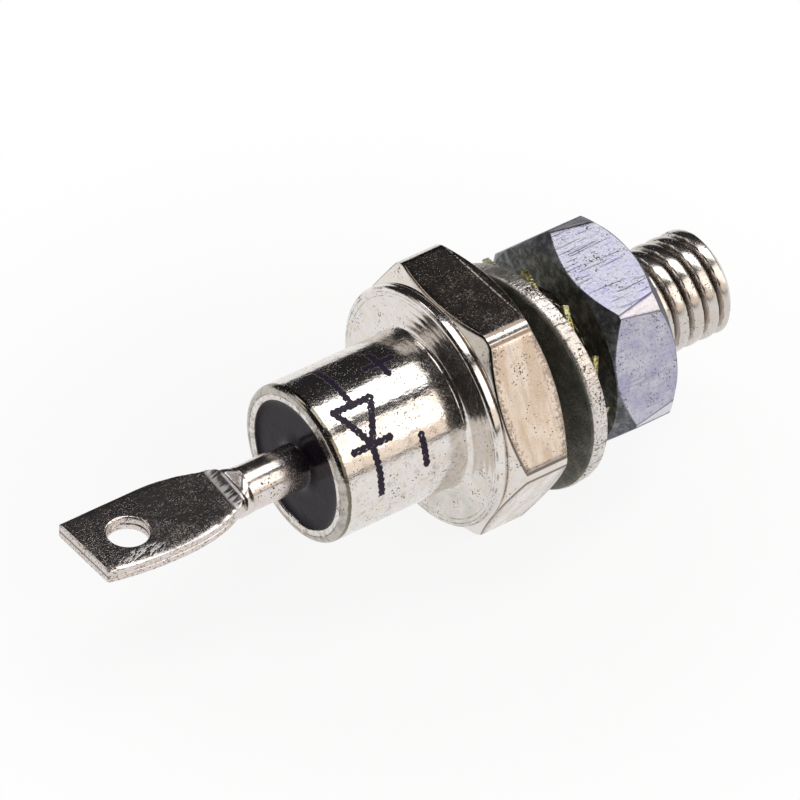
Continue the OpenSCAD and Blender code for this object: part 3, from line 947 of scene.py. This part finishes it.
material, tree, shader, spot = surface("zinc_washer", zinc_colour)
group = marked(tree, spot, pit_share=0.80, scratch_share=0.5)
shear = noise(tree, spot, 8.0, (0.12, 1, 1), detail=2)
grit = noise(tree, spot, 9.0, detail=4, rough=0.65)
face = facing_lug(tree)
cloud = window(tree, noise(tree, spot, 1.4, detail=4), 0.35, 0.7)
base = tint(tree, window(tree, grit, 0.30, 0.55), zinc_dark, zinc_bright)
tree.links.new(base, shader.inputs["Base Color"])
paint(tree, shader, window(tree, shear, 0.56, 0.70), zinc_shear_colour)
paint(tree, shader, group.outputs["Pits"], zinc_pit_colour)
# Painted shade on the face towards the hex, in the narrow gap between washer and hex
paint(tree, shader, face, tint(tree, cloud, washer_gap_shade_dark, washer_gap_shade_light))
tree.links.new(calc(tree, "MULTIPLY_ADD", shear, 0.3, 0.2), shader.inputs["Roughness"])
roughen(tree, shader, face, 0.15)
bump(tree, shader, times(tree, shear, 0.035))
emboss(tree, shader, grit, 0.02)
emboss(tree, shader, group.outputs["Pits"], -0.02)
finish(flat_washer, material, "flat_washer")

# Lock washer: spring steel with twelve outside teeth, each twisted out of the ring, in yellow chromate
# on zinc. It lies on the flat washer and its teeth bear on the nut.
lock_r = 4.75
lock_hole_r = 2.6
lock_ring_r = 3.7
lock_t = 0.3
lock_edge = 0.04
lock_teeth = 12
lock_slot = 0.85
lock_twist = radians(27)
lock_turn = radians(27)
tooth_w = 2 * lock_r * sin(pi / lock_teeth) - lock_slot
tooth_root_w = tooth_w * lock_ring_r / lock_r
tooth_half_h = (tooth_root_w * sin(lock_twist) + lock_t * cos(lock_twist)) / 2
tooth_sunk = 0.1
tooth_edge = 0.05
tooth_steps = 10
tooth_low_r = lock_ring_r - tooth_sunk
tooth_step = (lock_r - lock_ring_r + tooth_sunk) / tooth_steps
lock_at = -flat_t / 2 - rest_gap - tooth_half_h
lock_drop = lock_hole_r - stud_r - rest_gap
chromate_colour = (0.60, 0.53, 0.27)
chromate_gold = (0.50, 0.42, 0.16)
chromate_green = (0.46, 0.47, 0.26)
chromate_dark = (0.16, 0.14, 0.06)
chromate_pit_colour = (0.05, 0.045, 0.02)


def soften(piece, width, segments, angle):
    """Rounds the edges that are sharper than an angle and keeps the large faces flat."""
    apply_modifier(piece, "BEVEL", width=width, segments=segments, limit_method="ANGLE",
                   angle_limit=angle, use_clamp_overlap=True)


section = [(lock_hole_r, -lock_t / 2), (lock_ring_r + tooth_sunk, -lock_t / 2),
           (lock_ring_r + tooth_sunk, lock_t / 2), (lock_hole_r, lock_t / 2), (lock_hole_r, -lock_t / 2)]
lock_washer = turned("lock_washer_chromate", section, steps=144)
soften(lock_washer, lock_edge, segments=2, angle=radians(18))
for k in range(lock_teeth):
    bpy.ops.object.select_all(action="DESELECT")
    bpy.ops.mesh.primitive_cube_add(size=1)
    tooth = bpy.context.object
    tooth.name = "tooth"
    tooth.scale = (tooth_step, tooth_root_w * tooth_low_r / lock_ring_r, lock_t)
    tooth.location = (tooth_low_r + tooth_step / 2, 0, 0)
    bpy.ops.object.transform_apply(location=True, rotation=True, scale=True)
    bpy.ops.object.mode_set(mode="EDIT")
    bpy.ops.mesh.select_all(action="DESELECT")
    bpy.ops.object.mode_set(mode="OBJECT")
    for face in tooth.data.polygons:
        face.select = face.normal.x > 0.9
    bpy.ops.object.mode_set(mode="EDIT")
    for i in range(1, tooth_steps):
        root = tooth_low_r + tooth_step * i
        end = (root + tooth_step, 0, 0)
        bpy.ops.mesh.extrude_region_move(TRANSFORM_OT_translate={"value": (tooth_step, 0, 0)})
        bpy.ops.transform.resize(value=(1, (root + tooth_step) / root, 1), center_override=end)
        bpy.ops.transform.rotate(value=lock_twist / (tooth_steps - 1), orient_axis="X", center_override=end)
    bpy.ops.object.mode_set(mode="OBJECT")
    soften(tooth, tooth_edge, segments=3, angle=radians(50))
    tooth.matrix_world = Matrix.Rotation(lock_turn + 2 * pi * k / lock_teeth, 4, "Z")
    bpy.context.view_layer.update()
    combine(lock_washer, tooth, "UNION")
smooth(lock_washer, radians(35))
lay_down(lock_washer, leaning @ Matrix.Translation((-lock_drop, lock_at * tan(lean), lock_at)))
material, tree, shader, spot = surface("yellow_zinc", chromate_colour)
group = marked(tree, spot, pit_share=0.9, scratch_share=0.5)
tone_patches = window(tree, noise(tree, spot, 2.0, detail=3), 0.3, 0.7)
tree.links.new(tint(tree, tone_patches, chromate_gold, chromate_green), shader.inputs["Base Color"])
paint(tree, shader, window(tree, noise(tree, spot, 8.0, detail=3), 0.52, 0.64), chromate_dark)
paint(tree, shader, group.outputs["Pits"], chromate_pit_colour)
tree.links.new(calc(tree, "MULTIPLY_ADD", group.outputs["Mottle"], 0.25, 0.2), shader.inputs["Roughness"])
bump(tree, shader, times(tree, group.outputs["Grain"], 0.03))
finish(lock_washer, material, "lock_washer")

# Nut: a hexagon nut, bevelled on both faces, in satin zinc with a blue cast. Its threaded hole has a
# countersink at each end.
nut_low, nut_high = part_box("hex_nut")
nut_af = 9.15
nut_h = (nut_high.x - nut_low.x) / MM
nut_end = (seat.x - nut_high.x) / MM
nut_trim = 0.08
nut_free_trim = 0.26
nut_face_inset = 0.05
nut_bevel = radians(45)
nut_corner = 0.06
nut_edge = 0.02
nut_turn = radians(13)
nut_room = 0.04
nut_bore = stud_r + nut_room
nut_sink = 0.35
nut_colour = (0.66, 0.69, 0.77)
nut_violet = (0.42, 0.415, 0.56)
nut_pale = (0.63, 0.635, 0.71)
nut_speckle_colour = (0.24, 0.24, 0.32)
nut_line_colour = (0.20, 0.20, 0.28)
nut_pit_colour = (0.09, 0.09, 0.11)
nut_band_highlight_colour = (0.80, 0.77, 0.80)
nut_edge_shade_colour = (0.10, 0.09, 0.12)
nut_bevel_shade_colour = (0.08, 0.08, 0.10)
nut_gap_shade_dark = (0.05, 0.055, 0.05)
nut_gap_shade_light = (0.24, 0.24, 0.25)
rings = turned_hex(nut_af, nut_h, nut_trim, nut_free_trim, nut_face_inset, nut_bevel, nut_corner, nut_edge)
rings += [circle(nut_bore + nut_sink, 0), circle(nut_bore, nut_sink), circle(nut_bore, nut_h - nut_sink),
          circle(nut_bore + nut_sink, nut_h)]
hex_nut = lofted("hex_nut_zinc", rings, loop=True)
smooth(hex_nut, radians(16))
lay_down(hex_nut, Matrix.Translation((0, 0, nut_end)) @ Matrix.Rotation(-nut_turn, 4, "Z"))
material, tree, shader, spot = surface("blue_zinc", nut_colour)
group = marked(tree, spot, pit_share=0.7, scratch_share=0.4)
cloud = window(tree, noise(tree, spot, 1.2, detail=5, rough=0.65), 0.3, 0.7)
tree.links.new(tint(tree, cloud, nut_violet, nut_pale), shader.inputs["Base Color"])
speckle = window(tree, noise(tree, spot, 9.0, detail=4, rough=0.65), 0.50, 0.68)
paint(tree, shader, times(tree, speckle, 0.6), nut_speckle_colour)
lines = window(tree, noise(tree, spot, 8.0, (0.06, 1, 1), detail=1), 0.60, 0.72)
paint(tree, shader, times(tree, lines, 0.4), nut_line_colour)
paint(tree, shader, group.outputs["Pits"], nut_pit_colour)

# Painted light and shade on the nut: a painted highlight on the corner bands, a painted shade line along
# each flat, painted shade on the bevel at the free end, and mottled painted shade on the face towards the
# washers
place = here(tree)
depth = flat_depth(tree, place, nut_af, nut_turn)
facing = add(tree, "ShaderNodeSeparateXYZ", {0: add(tree, "ShaderNodeNewGeometry").outputs["Normal"]})
on_side = without(tree, window(tree, calc(tree, "ABSOLUTE", facing.outputs["X"]), 0.2, 0.4))
# Painted highlight on the corner bands
wear_and_highlight = times(tree, on_side, window(tree, depth, 0.05, 0.08))
paint(tree, shader, times(tree, wear_and_highlight, 0.7), nut_band_highlight_colour)
# Painted shade line along each flat
shade_line = times(tree, on_side, span(tree, depth, 0.010, 0.040, 0.008))
paint(tree, shader, times(tree, shade_line, 0.8), nut_edge_shade_colour)
# Painted shade on the bevel at the free end
near_edge = window(tree, radius(tree, place), nut_af / 2 - 0.12, nut_af / 2 - 0.02)
free_bevel_shade = times(tree, window(tree, facing.outputs["X"], 0.3, 0.5), near_edge)
paint(tree, shader, times(tree, free_bevel_shade, 0.8), nut_bevel_shade_colour)
# Mottled painted shade on the face towards the washers, in the narrow gap
shade_patches = window(tree, noise(tree, spot, 2.2, detail=5, rough=0.7), 0.40, 0.68)
paint(tree, shader, facing_lug(tree), tint(tree, shade_patches, nut_gap_shade_dark, nut_gap_shade_light))
tree.links.new(calc(tree, "MULTIPLY_ADD", cloud, 0.15, 0.38), shader.inputs["Roughness"])
bump(tree, shader, times(tree, noise(tree, spot, 6.0, detail=4), 0.012))
emboss(tree, shader, lines, -0.012)
finish(hex_nut, material, "hex_nut")

# Floor: a round sheet of white card, just under the part. It keeps the part's shadow close by and runs
# out to white.
sheet_r = 0.30
sheet_drop = 0.00002
sheet_colour = (0.9, 0.9, 0.9)
shadow_near = 0.008
shadow_far = 0.030
sheet_glow = 0.88
bpy.ops.object.select_all(action="DESELECT")
bpy.ops.mesh.primitive_circle_add(vertices=96, radius=sheet_r, fill_type="NGON", location=(0, 0, -sheet_drop))
floor = bpy.context.object
floor.name = "floor"
material = bpy.data.materials.new("white_sheet")
material.use_nodes = True
tree = material.node_tree
shader = tree.nodes["Principled BSDF"]
shader.inputs["Base Color"].default_value = (*sheet_colour, 1)
shader.inputs["Roughness"].default_value = 0.9
shader.inputs["Specular IOR Level"].default_value = 0.0


def seen_by_eye(tree):
    """1 for rays from the camera, straight or by way of metal and glass."""
    path = add(tree, "ShaderNodeLightPath")
    seen = calc(tree, "MAXIMUM", path.outputs["Is Camera Ray"], path.outputs["Is Glossy Ray"])
    return calc(tree, "MAXIMUM", seen, path.outputs["Is Transmission Ray"])


spot = add(tree, "ShaderNodeTexCoord").outputs["Object"]
reach = add(tree, "ShaderNodeVectorMath", {0: spot}, operation="LENGTH").outputs["Value"]
white = add(tree, "ShaderNodeEmission", {"Strength": 1.0})
share = calc(tree, "MULTIPLY_ADD", window(tree, reach, shadow_near, shadow_far), 1 - sheet_glow, sheet_glow)
blend = add(tree, "ShaderNodeMixShader", {0: times(tree, seen_by_eye(tree), share),
                                          1: shader.outputs[0], 2: white.outputs[0]})
tree.links.new(blend.outputs[0], tree.nodes["Material Output"].inputs["Surface"])
floor.data.materials.append(material)

# Backdrop: white all round, with a dark tent over the sheet that the metal mirrors but the camera
# looks through
tent_r = 0.45
tent_colour = (0.022, 0.021, 0.022)
dim_colour = (0.05, 0.05, 0.05)
world = bpy.data.worlds.new("backdrop")
bpy.context.scene.world = world
world.use_nodes = True
tree = world.node_tree
dim = tree.nodes["Background"]
dim.inputs["Color"].default_value = (*dim_colour, 1)
white = add(tree, "ShaderNodeBackground", {"Color": (1, 1, 1, 1), "Strength": 1.0})
blend = add(tree, "ShaderNodeMixShader", {0: seen_by_eye(tree), 1: dim.outputs[0], 2: white.outputs[0]})
tree.links.new(blend.outputs[0], tree.nodes["World Output"].inputs["Surface"])
bpy.ops.object.select_all(action="DESELECT")
bpy.ops.mesh.primitive_uv_sphere_add(segments=48, ring_count=24, radius=tent_r)
tent = bpy.context.object
tent.name = "dark_tent"
tent.visible_camera = False
material = bpy.data.materials.new("dark_cloth")
material.use_nodes = True
tree = material.node_tree
dark = add(tree, "ShaderNodeEmission", {"Color": (*tent_colour, 1), "Strength": 1.0})
tree.links.new(dark.outputs[0], tree.nodes["Material Output"].inputs["Surface"])
tent.data.materials.append(material)

# Light: soft boxes in the tent, one overhead and one in front on the right, whose lower half is
# warmer and dimmer, and white cards on the left that the lug, its neck and the can mirror
target = Vector((0.0, 0.0, 0.0055))


def softbox(name, tilt, turn, distance, length, width, radiance, colour):
    """A lamp that looks at the part: tilt is its place along the part's axis, turn its place round it."""
    around = radians(turn)
    toward = Vector((tilt, sqrt(1 - tilt * tilt) * cos(around), sqrt(1 - tilt * tilt) * sin(around)))
    along = (Vector((1, 0, 0)) - toward * tilt).normalized()
    lamp = bpy.data.lights.new(name, "AREA")
    lamp.shape = "RECTANGLE"
    lamp.size = length
    lamp.size_y = width
    lamp.energy = radiance * pi * length * width
    lamp.color = colour
    box = bpy.data.objects.new(name, lamp)
    bpy.context.scene.collection.objects.link(box)
    axes = Matrix((along, toward.cross(along), toward)).transposed().to_4x4()
    box.matrix_world = Matrix.Translation(target + toward * distance) @ axes
    box.visible_camera = False


softbox("soft_box_overhead", 0.40, 88, 0.30, 0.34, 0.17, 2.6, (1.0, 0.99, 0.98))
softbox("soft_box_front", 0.45, 138, 0.30, 0.34, 0.18, 1.9, (1.0, 0.93, 0.865))
softbox("soft_box_front_low", 0.45, 166, 0.30, 0.34, 0.10, 1.05, (1.0, 0.88, 0.76))
softbox("white_card_left", -0.62, 38, 0.30, 0.16, 0.12, 0.8, (1.0, 0.98, 0.95))
softbox("white_card_neck", -0.12, 53, 0.30, 0.10, 0.10, 1.8, (1.0, 0.98, 0.97))
softbox("white_wall_left", -0.86, 8, 0.32, 0.30, 0.08, 0.75, (1.0, 0.97, 0.92))

# Camera: a long lens half a metre off, at the angle from which the part is seen, with the hex a little
# to the right of the frame's middle
look_right = Vector((0.8039, -0.5939, 0.0335))
look_up = Vector((0.3699, 0.5432, 0.7538))
look_back = Vector((-0.4658, -0.5936, 0.6563))
camera_far = 500
frame_left = 2.502
frame_down = 0.427
hex_middle = Vector((seat.x - hex_h / 2 * MM, 0, seat.z))
camera = bpy.data.cameras.new("camera")
camera.sensor_width = 36
camera.lens = 533.97
camera.clip_start = 0.01
camera.clip_end = 5
eye = bpy.data.objects.new("camera", camera)
bpy.context.scene.collection.objects.link(eye)
stand = camera_far * look_back - frame_left * look_right - frame_down * look_up
turn = Matrix((look_right, look_up, look_back)).transposed().to_4x4()
eye.matrix_world = Matrix.Translation(hex_middle + stand * MM) @ turn
bpy.context.scene.camera = eye
bpy.context.scene.view_settings.view_transform = "Standard"
